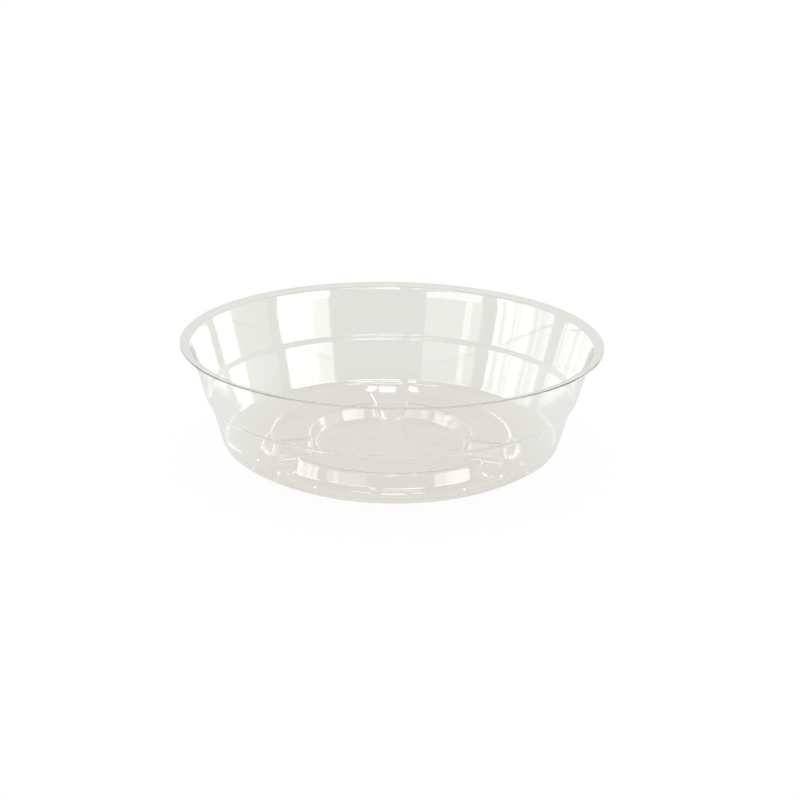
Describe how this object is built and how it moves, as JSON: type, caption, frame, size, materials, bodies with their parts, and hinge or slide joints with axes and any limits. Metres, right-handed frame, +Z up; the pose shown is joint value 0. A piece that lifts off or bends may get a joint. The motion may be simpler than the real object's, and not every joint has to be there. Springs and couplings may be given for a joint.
{
  "type": "plant saucer",
  "caption": "Round clear plastic plant saucer with a flared stepped wall, a narrow rim flange and raised arc ribs on its base, which catches water under a pot.",
  "frame": {"origin": "centre of the flat base, on the surface that the saucer stands on", "axes": "+Z up along the saucer's axis, -Y towards the viewer of the picture, +X to the right"},
  "size_m": [0.17, 0.17, 0.0482],
  "materials": {
    "clear_plastic": "clear, colourless, glossy formed plastic sheet with faint flow lines"
  },
  "bodies": {
    "root": {"saucer_shell": "clear_plastic"}
  },
  "joints": []
}
